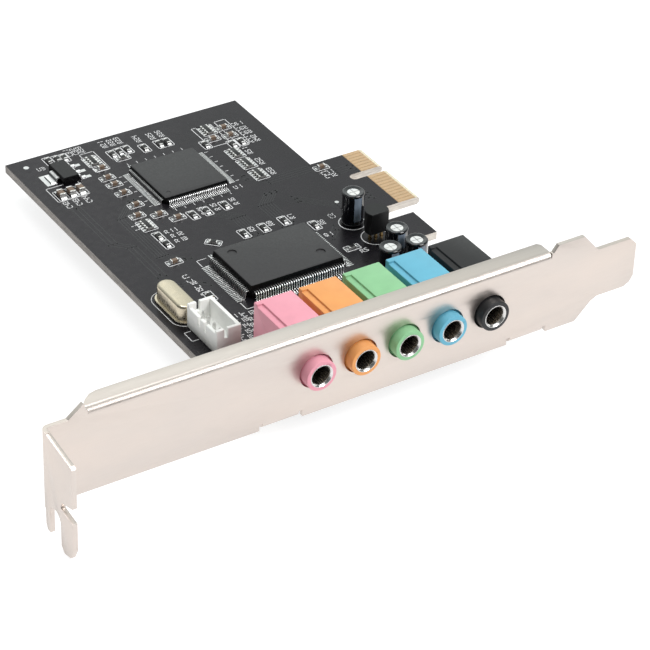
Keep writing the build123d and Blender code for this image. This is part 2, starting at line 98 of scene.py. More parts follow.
def rounded(length, width, radius, steps=4):
    """Rectangle with round corners, length along X."""
    x, y = length / 2 - radius, width / 2 - radius
    outline = []
    for quarter, corner in enumerate([(x, y), (-x, y), (-x, -y), (x, -y)]):
        outline += arc(radius, 90 * quarter, 90 * quarter + 90, steps, corner)
    return outline


def slotted(length, width, steps=14):
    """Straight sides with half-round ends, length along Y."""
    end = (length - width) / 2
    return arc(width / 2, 0, 180, steps, (0, end)) + arc(width / 2, 180, 360, steps, (0, -end))


def spun(points, degrees, centre=(0, 0)):
    """Points turned about the origin and then moved to a centre."""
    c, s = math.cos(math.radians(degrees)), math.sin(math.radians(degrees))
    return [(centre[0] + x * c - y * s, centre[1] + x * s + y * c) for x, y in points]


# Mesh building

class Shape:
    """Points and faces gathered into one mesh, with a material mark on each face."""

    def __init__(self):
        self.points = []
        self.faces = []
        self.marks = []

    def loft(self, rings, mark=0, endless=False):
        """Skin over rings of points that run the same way round, capped unless it closes on itself."""
        start, size, count = len(self.points), len(rings[0]), len(rings)
        faces = []
        for level in range(count if endless else count - 1):
            low, high = level * size, (level + 1) % count * size
            for i in range(size):
                j = (i + 1) % size
                faces.append([low + i, low + j, high + j, high + i])
        if not endless:
            faces.append(list(range(size))[::-1])
            faces.append([(count - 1) * size + i for i in range(size)])
        self.points += [Vector(p) for ring in rings for p in ring]
        self.faces += [[start + i for i in face] for face in faces]
        self.marks += [mark] * len(faces)

    def plate(self, outline, low, high, mark=0):
        """Outline given a thickness."""
        self.loft([[(x, y, z) for x, y in outline] for z in (low, high)], mark)

    def stack(self, centre, outline, levels):
        """Skin over an outline about a centre, worked out from the size that comes with each height."""
        self.loft([
            [(centre[0] + x, centre[1] + y, z) for x, y in outline(size)] for z, size in levels
        ])

    def turned(self, profile, centre, count=32, axis="Z", endless=False):
        """Profile of (radius, height) points turned about an upright or lengthwise axis."""
        rings = []
        for radius, height in profile:
            ring = [(u, v, height) if axis == "Z" else (u, height, -v) for u, v in circle(radius, count)]
            rings.append([Vector(p) + Vector(centre) for p in ring])
        self.loft(rings, endless=endless)

    def band(self, centre, inner, outer, low, high):
        """Flat closed band between two outlines with as many points."""
        rings = []
        for (ax, ay), (bx, by) in zip(inner, outer):
            section = [(ax, ay, low), (bx, by, low), (bx, by, high), (ax, ay, high)]
            rings.append([(centre[0] + x, centre[1] + y, z) for x, y, z in section])
        self.loft(rings, endless=True)

    def line(self, start, end, width, low, high):
        """Straight flat stroke with square ends."""
        start, end = Vector(start), Vector(end)
        along = (end - start).normalized() * width / 2
        side = Vector((-along.y, along.x))
        outline = [start - along - side, end + along - side, end + along + side, start - along + side]
        self.plate(outline, low, high)

    def build(self, name, finishes, stands_for=(), crease=CREASE):
        """Make the object, tie it to the body and hide the nodes that it stands for."""
        mesh = bpy.data.meshes.new(name)
        mesh.from_pydata(self.points, [], self.faces)
        work = bmesh.new()
        work.from_mesh(mesh)
        bmesh.ops.recalc_face_normals(work, faces=work.faces)
        work.to_mesh(mesh)
        work.free()
        for finish in finishes:
            mesh.materials.append(finish)
        for polygon, mark in zip(mesh.polygons, self.marks):
            polygon.material_index = mark
        return settle(link(bpy.data.objects.new(name, mesh)), stands_for, crease)


def link(thing):
    bpy.context.scene.collection.objects.link(thing)
    return thing


def smooth(piece, crease):
    """Shade a piece smooth up to a crease angle."""
    piece.data.shade_smooth()
    piece.data.set_sharp_from_angle(angle=math.radians(crease))


def settle(piece, stands_for, crease):
    """Smooth a piece, tie it to the body and hide the nodes that it stands for."""
    smooth(piece, crease)
    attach(piece, "root")
    if stands_for:
        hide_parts(*stands_for)
    return piece


def applied(piece):
    """Replace a piece's mesh by the result of its modifiers."""
    bpy.context.view_layer.update()
    graph = bpy.context.evaluated_depsgraph_get()
    mesh = bpy.data.meshes.new_from_object(piece.evaluated_get(graph))
    piece.modifiers.clear()
    piece.data = mesh
    return piece


def eased(node, name, width, finish, segments=2):
    """Copy of a node with its sharp edges eased."""
    mesh = nodes[node].data.copy()
    work = bmesh.new()
    work.from_mesh(mesh)
    bmesh.ops.remove_doubles(work, verts=work.verts, dist=WELD)
    bmesh.ops.dissolve_limit(work, angle_limit=math.radians(FLAT), verts=work.verts, edges=work.edges)
    work.to_mesh(mesh)
    work.free()
    mesh.materials.clear()
    mesh.materials.append(finish)
    piece = link(bpy.data.objects.new(name, mesh))
    bevel = piece.modifiers.new("ease", "BEVEL")
    bevel.width = width
    bevel.segments = segments
    bevel.limit_method = "ANGLE"
    bevel.angle_limit = math.radians(CREASE)
    return settle(applied(piece), [node], crease=40)


def cut(piece, tool_shape, crease=30):
    """Take a shape away from a finished piece."""
    mesh = bpy.data.meshes.new("cutter")
    mesh.from_pydata(tool_shape.points, [], tool_shape.faces)
    tool = link(bpy.data.objects.new("cutter", mesh))
    boolean = piece.modifiers.new("cut", "BOOLEAN")
    boolean.operation = "DIFFERENCE"
    boolean.object = tool
    applied(piece)
    bpy.data.objects.remove(tool)
    smooth(piece, crease)


class Block:
    """One solid of a node: its upright box, and the level directions of its base."""

    def __init__(self, points):
        self.low = Vector([min(p[i] for p in points) for i in range(3)])
        self.high = Vector([max(p[i] for p in points) for i in range(3)])
        self.size = self.high - self.low
        self.centre = (self.low + self.high) / 2
        base = [p for p in points if p.z < self.low.z + SAME_LEVEL]
        edges = [q - p for p in base for q in base if (q - p).length > SAME_POINT]
        shortest = min(edges, key=lambda edge: edge.length) if edges else Vector((1, 0, 0))
        self.side = shortest.to_2d().normalized()
        self.along = Vector((-self.side.y, self.side.x))
        self.width, self.length = (self.extent(base, axis) for axis in (self.side, self.along))

    @staticmethod
    def extent(points, axis):
        places = [p.to_2d().dot(axis) for p in points]
        return max(places) - min(places)

    def at(self, along, across, height=0.0):
        """Point in the block's own directions, measured from its centre line and its base."""
        flat = self.centre.to_2d() + self.along * along + self.side * across
        return Vector((flat.x, flat.y, self.low.z + height))


def blocks(node):
    """The separate solids of a node."""
    work = bmesh.new()
    work.from_mesh(nodes[node].data)
    bmesh.ops.remove_doubles(work, verts=work.verts, dist=WELD)
    found, seen = [], set()
    for seed in work.verts:
        if seed in seen:
            continue
        stack, island = [seed], []
        seen.add(seed)
        while stack:
            vert = stack.pop()
            island.append(vert.co.copy())
            for edge in vert.link_edges:
                other = edge.other_vert(vert)
                if other not in seen:
                    seen.add(other)
                    stack.append(other)
        found.append(Block(island))
    work.free()
    return sorted(found, key=lambda b: (round(b.centre.x, 5), round(b.centre.y, 5)))


# Finishes

# Where a noise starts and stops drifting, and where a normal counts as turned along an axis
NOISE_FROM, NOISE_TO = 0.3, 0.7
FACING_FROM, FACING_TO = 0.8, 0.9

# Lowest roughness, and half the width of the change from one colour to the next
LEAST_ROUGH = 0.02
SOFT = 0.02 * MM


class Finish:
    """Principled surface fed by textures laid out in the object's own space."""

    def __init__(self, name, colour, roughness, metallic=0.0, **sockets):
        self.material = bpy.data.materials.new(name)
        self.material.use_nodes = True
        tree = self.material.node_tree
        self.new, self.link = tree.nodes.new, tree.links.new
        self.shader = tree.nodes["Principled BSDF"]
        self.colour = colour
        self.roughness = roughness
        self.shader.inputs["Base Color"].default_value = (*colour, 1)
        self.shader.inputs["Metallic"].default_value = metallic
        self.shader.inputs["Roughness"].default_value = roughness
        for socket, value in sockets.items():
            self.shader.inputs[socket.replace("_", " ")].default_value = value
        self.coords = self.new("ShaderNodeTexCoord").outputs["Object"]
        self.base = None

    def noise(self, grain, detail=3, stretch=(1, 1, 1)):
        """Noise whose features are about grain metres wide, drawn out along an axis."""
        spread = self.new("ShaderNodeMapping")
        spread.inputs["Scale"].default_value = [1 / (grain * s) for s in stretch]
        self.link(self.coords, spread.inputs["Vector"])
        texture = self.new("ShaderNodeTexNoise")
        texture.inputs["Scale"].default_value = 1.0
        texture.inputs["Detail"].default_value = detail
        self.link(spread.outputs["Vector"], texture.inputs["Vector"])
        return texture.outputs["Fac"]

    def ranged(self, value, low, high, start=NOISE_FROM, end=NOISE_TO):
        """Runs from low to high while the value runs from start to end."""
        node = self.new("ShaderNodeMapRange")
        for name, number in zip(("From Min", "From Max", "To Min", "To Max"), (start, end, low, high)):
            node.inputs[name].default_value = number
        self.link(value, node.inputs["Value"])
        return node.outputs["Result"]

    def mixed(self, factor, first, second):
        """Blend of two colours, each given as numbers or as a socket."""
        node = self.new("ShaderNodeMix")
        node.data_type = "RGBA"
        self.link(factor, node.inputs["Factor"])
        for name, colour in (("A", first), ("B", second)):
            socket = [s for s in node.inputs if s.name == name and s.type == "RGBA"][0]
            if isinstance(colour, tuple):
                socket.default_value = (*colour, 1)
            else:
                self.link(colour, socket)
        return [s for s in node.outputs if s.type == "RGBA"][0]

    def mottled(self, grain, swing, tint=(1, 1, 1), stretch=(1, 1, 1)):
        """Colour that drifts by a share of itself, towards a tint."""
        dark = tuple(c * (1 - swing) for c in self.colour)
        light = tuple(min(1, c * (1 + swing) * t) for c, t in zip(self.colour, tint))
        self.base = self.mixed(self.ranged(self.noise(grain, 4, stretch), 0, 1), dark, light)
        self.link(self.base, self.shader.inputs["Base Color"])
        return self

    def recolour(self, factor, colour):
        """Lay another colour over the base where factor is 1."""
        self.base = self.mixed(factor, self.base or self.colour, colour)
        self.link(self.base, self.shader.inputs["Base Color"])
        return self

    def uneven(self, grain, swing, stretch=(1, 1, 1)):
        """Roughness that drifts either side of its mean."""
        low, high = max(LEAST_ROUGH, self.roughness - swing), min(1, self.roughness + swing)
        value = self.ranged(self.noise(grain, 3, stretch), low, high)
        self.link(value, self.shader.inputs["Roughness"])
        return self

    def grainy(self, grain, depth, strength, stretch=(1, 1, 1)):
        """Fine relief, depth metres deep."""
        bump = self.new("ShaderNodeBump")
        bump.inputs["Strength"].default_value = strength
        bump.inputs["Distance"].default_value = depth
        self.link(self.noise(grain, 4, stretch), bump.inputs["Height"])
        self.link(bump.outputs["Normal"], self.shader.inputs["Normal"])
        return self

    def beyond(self, axis, limit, soft=SOFT, before=0, after=1):
        """Changes from one value to another at a place along an axis."""
        split = self.new("ShaderNodeSeparateXYZ")
        self.link(self.coords, split.inputs["Vector"])
        return self.ranged(split.outputs[axis], before, after, limit - soft, limit + soft)

    def around(self, x, radius):
        """1 within a radius of the lengthwise axis at x."""
        flat = self.new("ShaderNodeVectorMath")
        flat.operation = "MULTIPLY_ADD"
        flat.inputs[1].default_value = (1, 0, 1)
        flat.inputs[2].default_value = (-x, 0, 0)
        self.link(self.coords, flat.inputs[0])
        size = self.new("ShaderNodeVectorMath")
        size.operation = "LENGTH"
        self.link(flat.outputs["Vector"], size.inputs[0])
        return self.ranged(size.outputs["Value"], 1, 0, radius - SOFT, radius + SOFT)

    def product(self, first, second):
        node = self.new("ShaderNodeMath")
        node.operation = "MULTIPLY"
        self.link(first, node.inputs[0])
        self.link(second, node.inputs[1])
        return node.outputs["Value"]

    def facing(self, axis, other, along):
        """One value on faces turned along an axis, and another on the rest."""
        split = self.new("ShaderNodeSeparateXYZ")
        self.link(self.new("ShaderNodeNewGeometry").outputs["True Normal"], split.inputs["Vector"])
        size = self.new("ShaderNodeMath")
        size.operation = "ABSOLUTE"
        self.link(split.outputs[axis], size.inputs[0])
        return self.ranged(size.outputs["Value"], other, along, FACING_FROM, FACING_TO)


def moulded(name, colour, roughness, gloss):
    finish = Finish(name, colour, roughness, Specular_IOR_Level=gloss)
    return finish.mottled(2.5 * MM, 0.04).uneven(0.8 * MM, 0.05).grainy(0.35 * MM, 0.003 * MM, 0.15)


def plastic(name, colour, roughness, gloss=0.45):
    return moulded(name, colour, roughness, gloss).material


BORE_R = 1.88 * MM
BORE_STOP = 0.3 * MM


def jack_plastic(name, colour, x, back):
    """Moulded plastic, with painted shade inside the bore up to a stop before the back."""
    finish = moulded(name, colour, 0.36, 0.3)
    short = finish.beyond("Y", back - BORE_STOP, before=1, after=0)
    # Painted shade: near-black within the bore radius, standing in for the dark depth of the hole
    finish.recolour(finish.product(finish.around(x, BORE_R), short), (0.008, 0.008, 0.009))
    return finish.material


def metal(name, colour, roughness, grain=0.25 * MM, relief=0.3):
    finish = Finish(name, colour, roughness, 1.0)
    finish.mottled(1.5 * MM, 0.05, (1, 0.98, 0.95)).uneven(grain, 0.06).grainy(grain, 0.003 * MM, relief)
    return finish.material


# Bare board around the fingers, the bevel across their tips, and the stretch where cut edges are painted
# paler, as painted light
FINGER_L = 4.75 * MM
FINGER_MARGIN = 1.2 * MM
BEVEL = 0.95 * MM
BEVEL_SOFT = 0.1 * MM
LIT_EDGE_L = 14 * MM
LIT_EDGE_SOFT = 2 * MM


def solder_mask():
    """Dark lacquer, with bare layered fibre along cut edges and between the gold fingers; the cut edges
    carry painted light near the fingers and painted shade elsewhere.
    """
    finish = Finish(
        "solder_mask", (0.009, 0.0085, 0.0105), 0.3,
        Specular_IOR_Level=0.27, Specular_Tint=(1.0, 0.93, 1.0, 1),
    )
    finish.mottled(6 * MM, 0.16, (1.05, 1, 1)).uneven(1.2 * MM, 0.06).grainy(0.3 * MM, 0.003 * MM, 0.25)
    bare = finish.product(
        finish.beyond("X", TIP_X - FINGER_L), finish.beyond("Y", FINGERS_Y - FINGER_MARGIN)
    )
    finish.recolour(bare, (0.47, 0.33, 0.19))
    finish.recolour(finish.beyond("X", TIP_X - BEVEL, BEVEL_SOFT), (0.80, 0.73, 0.56))
    layers = finish.ranged(finish.noise(0.25 * MM, 3, (8, 8, 1)), 0, 1)
    # Painted light and shade on the cut edges: the layered fibre is dark away from the fingers and pale
    # near them
    dull = finish.mixed(layers, (0.13, 0.115, 0.10), (0.31, 0.28, 0.25))
    pale = finish.mixed(layers, (0.50, 0.46, 0.42), (0.78, 0.73, 0.66))
    fibre = finish.mixed(finish.beyond("X", TIP_X - LIT_EDGE_L, LIT_EDGE_SOFT), dull, pale)
    finish.recolour(finish.facing("Z", 1, 0), fibre)
    return finish.material


def covered_copper():
    """Lacquer where it runs over a trace: a little lighter and smoother than over bare board."""
    finish = Finish("covered_copper", (0.016, 0.016, 0.018), 0.26, Specular_IOR_Level=0.34)
    finish.mottled(3 * MM, 0.15).uneven(1.2 * MM, 0.05)
    return finish.material


def lead_plate():
    """Tin on formed leads, with painted shade on the faces turned along X."""
    finish = Finish("lead_plate", (0.93, 0.93, 0.93), 0.42, 1.0)
    finish.mottled(1.5 * MM, 0.05).uneven(0.15 * MM, 0.06).grainy(0.15 * MM, 0.003 * MM, 0.1)
    # Painted shade: faces turned along X are darkened as if shadowed by the neighbouring leads
    finish.recolour(finish.facing("X", 0, 1), (0.13, 0.13, 0.135))
    return finish.material


BORE_SHADE_FROM = 0.45 * MM
BORE_SHADE_SOFT = 0.3 * MM


def sleeve_metal():
    """Bright at the mouth of a jack, with painted shade deeper inside it; drawn lengthwise."""
    finish = Finish("bright_sleeve", (0.70, 0.69, 0.68), 0.26, 1.0)
    finish.mottled(1.0 * MM, 0.04).uneven(0.25 * MM, 0.05, (1, 12, 1))
    # Painted shade: the lining turns dark past the first stretch of the mouth, as the depth of the bore
    # would make it
    finish.recolour(finish.beyond("Y", MOUTH_Y + BORE_SHADE_FROM, BORE_SHADE_SOFT), (0.37, 0.345, 0.31))
    return finish.material


def gold_plate():
    """Gold with a lengthwise grain, ground away where the edge of the board is bevelled."""
    finish = Finish("gold_plate", (0.64, 0.45, 0.28), 0.36, 1.0)
    finish.mottled(1.5 * MM, 0.05, (1, 0.98, 0.95)).uneven(0.3 * MM, 0.06, (8, 1, 1))
    finish.recolour(finish.beyond("X", TIP_X - BEVEL, BEVEL_SOFT), (0.84, 0.77, 0.62))
    return finish.material


def sheet_metal():
    """Nickel on sheet steel: a soft lengthwise grain, with a warm drift in its tone."""
    finish = Finish("nickel_sheet", (0.66, 0.60, 0.56), 0.36, 1.0)
    finish.mottled(9 * MM, 0.035, (1, 0.975, 0.955), (3, 1, 1)).uneven(0.3 * MM, 0.06, (12, 1, 1))
    finish.grainy(0.12 * MM, 0.002 * MM, 0.25, (14, 1, 1))
    return finish.material


def epoxy(name, colour, roughness, gloss=0.5):
    """Moulded resin or fired ceramic."""
    finish = Finish(name, colour, roughness, Specular_IOR_Level=gloss)
    finish.mottled(0.5 * MM, 0.12).uneven(0.3 * MM, 0.05).grainy(0.2 * MM, 0.004 * MM, 0.25)
    return finish.material


def white_ink():
    finish = Finish("white_ink", (0.74, 0.74, 0.75), 0.6)
    finish.mottled(0.3 * MM, 0.14).uneven(0.2 * MM, 0.1).grainy(0.1 * MM, 0.003 * MM, 0.4)
    return finish.material


BOARD = solder_mask()
NICKEL = sheet_metal()
TIN = metal("tin_plate", (0.74, 0.74, 0.74), 0.28, 0.15 * MM, 0.15)
LEAD = lead_plate()
SOLDER = metal("solder", (0.68, 0.69, 0.70), 0.36, 0.3 * MM, 0.15)
ZINC = metal("screw_zinc", (0.60, 0.60, 0.58), 0.3)
COPPER = covered_copper()
GOLD = gold_plate()
BRASS = metal("brass_leg", (0.82, 0.60, 0.28), 0.28)
CHROME = sleeve_metal()
CAN = metal("crystal_can", (0.59, 0.53, 0.415), 0.27, 0.6 * MM, 0.02)
FOIL = metal("can_top", (0.90, 0.90, 0.91), 0.34, 0.2 * MM, 0.15)
EPOXY = epoxy("chip_epoxy", (0.0255, 0.0245, 0.0265), 0.5)
# Darker, less glossy copy of the chip epoxy: painted shade for the sides of chip bodies
EPOXY_SHADED_SIDE = epoxy("chip_epoxy_shaded_side", (0.004, 0.004, 0.0045), 0.3, 0.12)
BLACK = epoxy("black_epoxy", (0.006, 0.006, 0.0065), 0.36, 0.3)
GLAZE = epoxy("resistor_glaze", (0.010, 0.010, 0.011), 0.3, 0.3)
CERAMIC = epoxy("capacitor_ceramic", (0.17, 0.115, 0.08), 0.4)
ALUMINA = epoxy("resistor_body", (0.17, 0.165, 0.16), 0.5)
SLEEVE = plastic("can_sleeve", (0.003, 0.004, 0.007), 0.1, 0.9)
STRIPE = plastic("can_stripe", (0.22, 0.27, 0.34), 0.2)
NYLON = plastic("header_nylon", (0.88, 0.885, 0.86), 0.42)
INK = white_ink()
JACK_COLOURS = {
    "pink": (0.785, 0.335, 0.41),
    "orange": (0.80, 0.35, 0.115),
    "green": (0.26, 0.54, 0.285),
    "blue": (0.135, 0.435, 0.585),
    "black": (0.021, 0.021, 0.022),
}
NODE_FINISHES = {
    "circuit_board": BOARD,
    "gold_fingers": GOLD,
    "jack_leaves": BRASS,
    "jack_pins": TIN,
    "transistor_legs": BRASS,
    "capacitor_wires": TIN,
    "crystal_wires": TIN,
}
for node, finish in NODE_FINISHES.items():
    nodes[node].data.materials.clear()
    nodes[node].data.materials.append(finish)


# Bracket and jacks

BRACKET_EASE = 0.12 * MM
JACK_EASE = 0.16 * MM
FLARE_R = 2.08 * MM
FLARE_L = 0.36 * MM
FLARE_LIP = 0.02 * MM
SLEEVE_R = 1.84 * MM
SLEEVE_T = 0.08 * MM
SLEEVE_END = 3.3 * MM
SLEEVE_FACETS = 64
RIM_W = 0.15 * MM
RIM_H = 0.05 * MM
FUNNEL = [
    (FLARE_R + SLEEVE_T, MOUTH_Y - RIM_H),
    (FLARE_R + SLEEVE_T, MOUTH_Y + FLARE_LIP),
    (SLEEVE_R, MOUTH_Y + FLARE_L),
]
LINING = [
    (SLEEVE_R, SLEEVE_END),
    (SLEEVE_R, MOUTH_Y + FLARE_L),
    (FLARE_R + SLEEVE_T, MOUTH_Y),
    (FLARE_R + RIM_W, MOUTH_Y),
    (FLARE_R + 0.8 * RIM_W, MOUTH_Y - RIM_H),
    (FLARE_R + 0.2 * RIM_W, MOUTH_Y - RIM_H),
    (FLARE_R, MOUTH_Y - RIM_H / 2),
    (SLEEVE_R, MOUTH_Y + 0.55 * FLARE_L),
    (SLEEVE_R - SLEEVE_T, MOUTH_Y + FLARE_L),
    (SLEEVE_R - SLEEVE_T, SLEEVE_END),
]

eased("bracket", "bracket_sheet", BRACKET_EASE, NICKEL)
sleeves = Shape()
for colour, tone in JACK_COLOURS.items():
    low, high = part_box("jack_housing_" + colour)
    centre = ((low.x + high.x) / 2, 0, 0)
    slot = "jack_" + colour
    finish = jack_plastic(slot, tone, centre[0], high.y)
    body = eased("jack_housing_" + colour, slot + "_body", JACK_EASE, finish, segments=3)
    funnel = Shape()
    funnel.turned(FUNNEL, centre, SLEEVE_FACETS, "Y")
    cut(body, funnel, crease=40)
    sleeves.turned(LINING, centre, SLEEVE_FACETS, "Y", endless=True)
sleeves.build("jack_sleeves", [CHROME])


# Flat chips

DRAFT = math.radians(8)
TOP_NORMAL = 0.6
DIMPLE_TAPER = 0.92
LEAD_CREASE = 22


def chip_body(node, name, finishes, edge, corner, dimples=(), dimple_r=0.0, dimple_d=0.0):
    """Moulded body that tapers both ways from its parting line, with round dimples, and sides in a darker
    copy of the epoxy as painted shade.
    """
    low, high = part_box(node)
    centre = (low + high) / 2
    length, width, height = high - low
    draft = height / 2 * math.tan(DRAFT)
    shape = Shape()
    shape.stack(centre, lambda inset: rounded(length - 2 * inset, width - 2 * inset, corner), [
        (low.z, draft + edge / 2),
        (low.z + edge / 2, draft),
        (centre.z - edge / 3, 0),
        (centre.z + edge / 3, 0),
        (high.z - edge, draft - 0.14 * edge),
        (high.z - edge / 3, draft + 0.16 * edge),
        (high.z, draft + 0.7 * edge),
    ])
    piece = shape.build(name, finishes, [node], crease=18)
    # Painted shade: faces that are not near level take the second, darker finish
    for polygon in piece.data.polygons:
        polygon.material_index = 1 if polygon.normal.z < TOP_NORMAL else 0
    if dimples:
        cutters = Shape()
        for x, y in dimples:
            walls = [(DIMPLE_TAPER * dimple_r, high.z - dimple_d), (dimple_r, high.z + dimple_d)]
            cutters.turned(walls, (centre.x + x, centre.y + y, 0))
        cut(piece, cutters)


def gull_wing(shape, block, out, thick, foot=0.48, share=0.9):
    """Lead that leaves the body level, bends down and ends in a flat foot."""
    out = Vector((*out, 0))
    side = Vector((-out.y, out.x, 0))
    reach = abs(block.size.dot(out))
    width = share * abs(block.size.dot(side))
    root = block.centre - out * reach / 2
    high, low = block.high.z - thick / 2, block.low.z + thick / 2
    knee = reach * (1 - foot)
    shoulder = 0.62 * knee
    bend = 0.3 * (knee - shoulder)
    sag = 0.12 * (high - low)
    path = [
        (0, high), (shoulder, high), (shoulder + bend, high - sag),
        (knee - bend, low + sag), (knee, low), (reach, low),
    ]
    rings = []
    for i, (u, z) in enumerate(path):
        before, after = path[max(0, i - 1)], path[min(len(path) - 1, i + 1)]
        tangent = Vector((after[0] - before[0], after[1] - before[1])).normalized()
        normal = Vector((-tangent.y, tangent.x)) * thick / 2
        ring = []
        for s, n in rectangle(-1, -1, 1, 1):
            flat = root + out * (u + n * normal.x) + side * s * width / 2
            ring.append((flat.x, flat.y, z + n * normal.y))
        rings.append(ring)
    shape.loft(rings)


def away_from(block, low, high):
    """Direction in which a lead points away from its chip, whose corners are given."""
    offset = block.centre - (low + high) / 2
    half = (high - low) / 2
    if abs(offset.x) - half.x > abs(offset.y) - half.y:
        return (math.copysign(1, offset.x), 0)
    return (0, math.copysign(1, offset.y))


pads = Shape()


def pad(start, end, width):
    """Tinned pad on the board, below two points."""
    pads.line(start.to_2d(), end.to_2d(), width, TOP, TOP + PAD_H)


def chip_leads(chip, node, name, thick, pad_w, pad_out, pad_in):
    """Formed leads of a chip, each with a pad under its foot."""
    shape = Shape()
    for block in blocks(node):
        out = away_from(block, *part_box(chip))
        gull_wing(shape, block, out, thick)
        away = Vector((*out, 0))
        tip = block.centre + away * abs(block.size.dot(away)) / 2
        pad(tip + away * pad_out, tip - away * pad_in, pad_w)
    shape.build(name, [LEAD], [node], LEAD_CREASE)


chip_body(
    "bridge_chip", "bridge_chip_body", [EPOXY, EPOXY_SHADED_SIDE], edge=0.22 * MM, corner=0.35 * MM,
    dimples=[(-5.4 * MM, -5.4 * MM)], dimple_r=0.5 * MM, dimple_d=0.06 * MM,
)
chip_leads(
    "bridge_chip", "bridge_chip_leads", "bridge_chip_formed_leads",
    thick=0.1 * MM, pad_w=0.2 * MM, pad_out=0.75 * MM, pad_in=0.3 * MM,
)
chip_body(
    "audio_chip", "audio_chip_body", [EPOXY, EPOXY_SHADED_SIDE], edge=0.3 * MM, corner=0.3 * MM,
    dimples=[(-7.2 * MM, 4.4 * MM), (7.1 * MM, -3.3 * MM)], dimple_r=0.95 * MM, dimple_d=0.2 * MM,
)
chip_leads(
    "audio_chip", "audio_chip_leads", "audio_chip_formed_leads",
    thick=0.15 * MM, pad_w=0.23 * MM, pad_out=0.62 * MM, pad_in=0.45 * MM,
)


# Voltage regulator: three legs on one side, and a wide tab on the other

TAB_MIN_W = 2 * MM
TAB_PAD_MARGIN = 0.45 * MM
LEG_PAD_MARGIN = 0.06 * MM
REGULATOR_PAD = (-1.0 * MM, 1.1 * MM)

chip_body("regulator_body", "regulator_case", [BLACK, EPOXY_SHADED_SIDE], edge=0.15 * MM, corner=0.15 * MM)
regulator_leads = Shape()
for block in blocks("regulator_leads"):
    out = away_from(block, *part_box("regulator_body"))
    gull_wing(regulator_leads, block, out, thick=0.26 * MM, foot=0.6, share=1.0)
    tip_x = block.high.x if out[0] > 0 else block.low.x
    margin = TAB_PAD_MARGIN if block.size.y > TAB_MIN_W else LEG_PAD_MARGIN
    x0, x1 = (tip_x + shift for shift in REGULATOR_PAD)
    pads.plate(rectangle(x0, block.low.y - margin, x1, block.high.y + margin), TOP, TOP + PAD_H)
regulator_leads.build("regulator_formed_leads", [LEAD], ["regulator_leads"], LEAD_CREASE)


# Crystal

CAN_ROUND = 0.6 * MM
CAN_FLARE = 0.05 * MM
CAN_FLARE_H = 0.25 * MM


def crystal_shell(node, name, levels):
    """Long shell with half-round ends; levels are worked out from its lowest and highest points."""
    low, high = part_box(node)
    width, length, _ = high - low
    shape = Shape()
    shape.stack(
        (low + high) / 2, lambda inset: slotted(length - 2 * inset, width - 2 * inset),
        levels(low.z, high.z),
    )
    shape.build(name, [CAN], [node], crease=40)


def can_levels(low, high):
    """Flared at its foot and rounded over at its top."""
    levels = [(low, -CAN_FLARE), (low + CAN_FLARE_H, 0)]
    for angle in (0, 0.4, 0.8, 1.2, math.pi / 2):
        levels.append((high - CAN_ROUND * (1 - math.sin(angle)), CAN_ROUND * (1 - math.cos(angle))))
    return levels


def flange_levels(low, high):
    """Pressed rim with soft edges."""
    return [
        (low + 0.02 * MM, 0.1 * MM), (low + 0.1 * MM, 0), (high - 0.12 * MM, 0),
        (high - 0.03 * MM, 0.06 * MM), (high, 0.2 * MM),
    ]


crystal_shell("crystal_can", "crystal_shell", can_levels)
crystal_shell("crystal_base", "crystal_flange", flange_levels)


# Header

HEADER_EASE = 0.12 * MM
PIN_FOOT_L = 0.3 * MM
PIN_POINT_L = 0.5 * MM
PIN_FOOT = 0.55
PIN_POINT = 0.45

eased("header_housing", "header_shell", HEADER_EASE, NYLON)
header_pins = Shape()
for block in blocks("header_pins"):
    half = block.size.x / 2
    header_pins.stack(block.centre, lambda size: rectangle(-size, -size, size, size), [
        (block.low.z, PIN_FOOT * half),
        (block.low.z + PIN_FOOT_L, half),
        (block.high.z - PIN_POINT_L, half),
        (block.high.z, PIN_POINT * half),
    ])
header_pins.build("header_contacts", [TIN], ["header_pins"])


# Capacitors

# Points of the sleeve: share of the radius, and millimetres up from the foot or down from the top
CAN_FOOT = [
    (0.86, 0), (0.95, 0.08), (0.985, 0.25), (0.985, 0.6), (0.965, 0.75), (0.965, 0.9), (0.985, 1.05),
]
CAN_LIP = 0.55
CAN_HEAD = [
    (0.985, 0.5), (1, 0.42), (1, 0.3), (0.975, 0.14), (0.93, 0.03), (0.88, 0), (0.82, 0.02), (0.74, 0.09),
    (CAN_LIP + 0.06, 0.17), (CAN_LIP, 0.22), (CAN_LIP, 0.32),
]

# Leaves of the scored foil, then the pale stripe, with angles in degrees
LEAF_ARC = (3, 87)
LEAF_LOW = 0.312 * MM
LEAF_HIGH = 0.192 * MM
SCORE_HALF = 0.05 * MM
STRIPE_ARC = (-116, -76)
STRIPE_IN = 0.975
STRIPE_FOOT = 1.1 * MM
STRIPE_HEAD = 0.52 * MM


def radial_can(shape, block):
    """Sleeved can: a crimp near its foot, a rolled lip and a scored foil top."""
    r = block.size.x / 2
    low, high = block.low.z, block.high.z
    centre = (block.centre.x, block.centre.y, 0)
    foot = [(share * r, low + up * MM) for share, up in CAN_FOOT]
    head = [(share * r, high - down * MM) for share, down in CAN_HEAD]
    shape.turned(foot + head, centre, count=40)
    leaf = [(SCORE_HALF, SCORE_HALF)]
    leaf += [(max(SCORE_HALF, x), max(SCORE_HALF, y)) for x, y in arc(CAN_LIP * r, *LEAF_ARC, 7)]
    for quarter in range(4):
        shape.plate(spun(leaf, 90 * quarter, centre), high - LEAF_LOW, high - LEAF_HIGH, mark=1)
    stripe = arc(STRIPE_IN * r, *STRIPE_ARC, 10, centre) + arc(r, *STRIPE_ARC[::-1], 10, centre)
    shape.plate(stripe, low + STRIPE_FOOT, high - STRIPE_HEAD, mark=2)


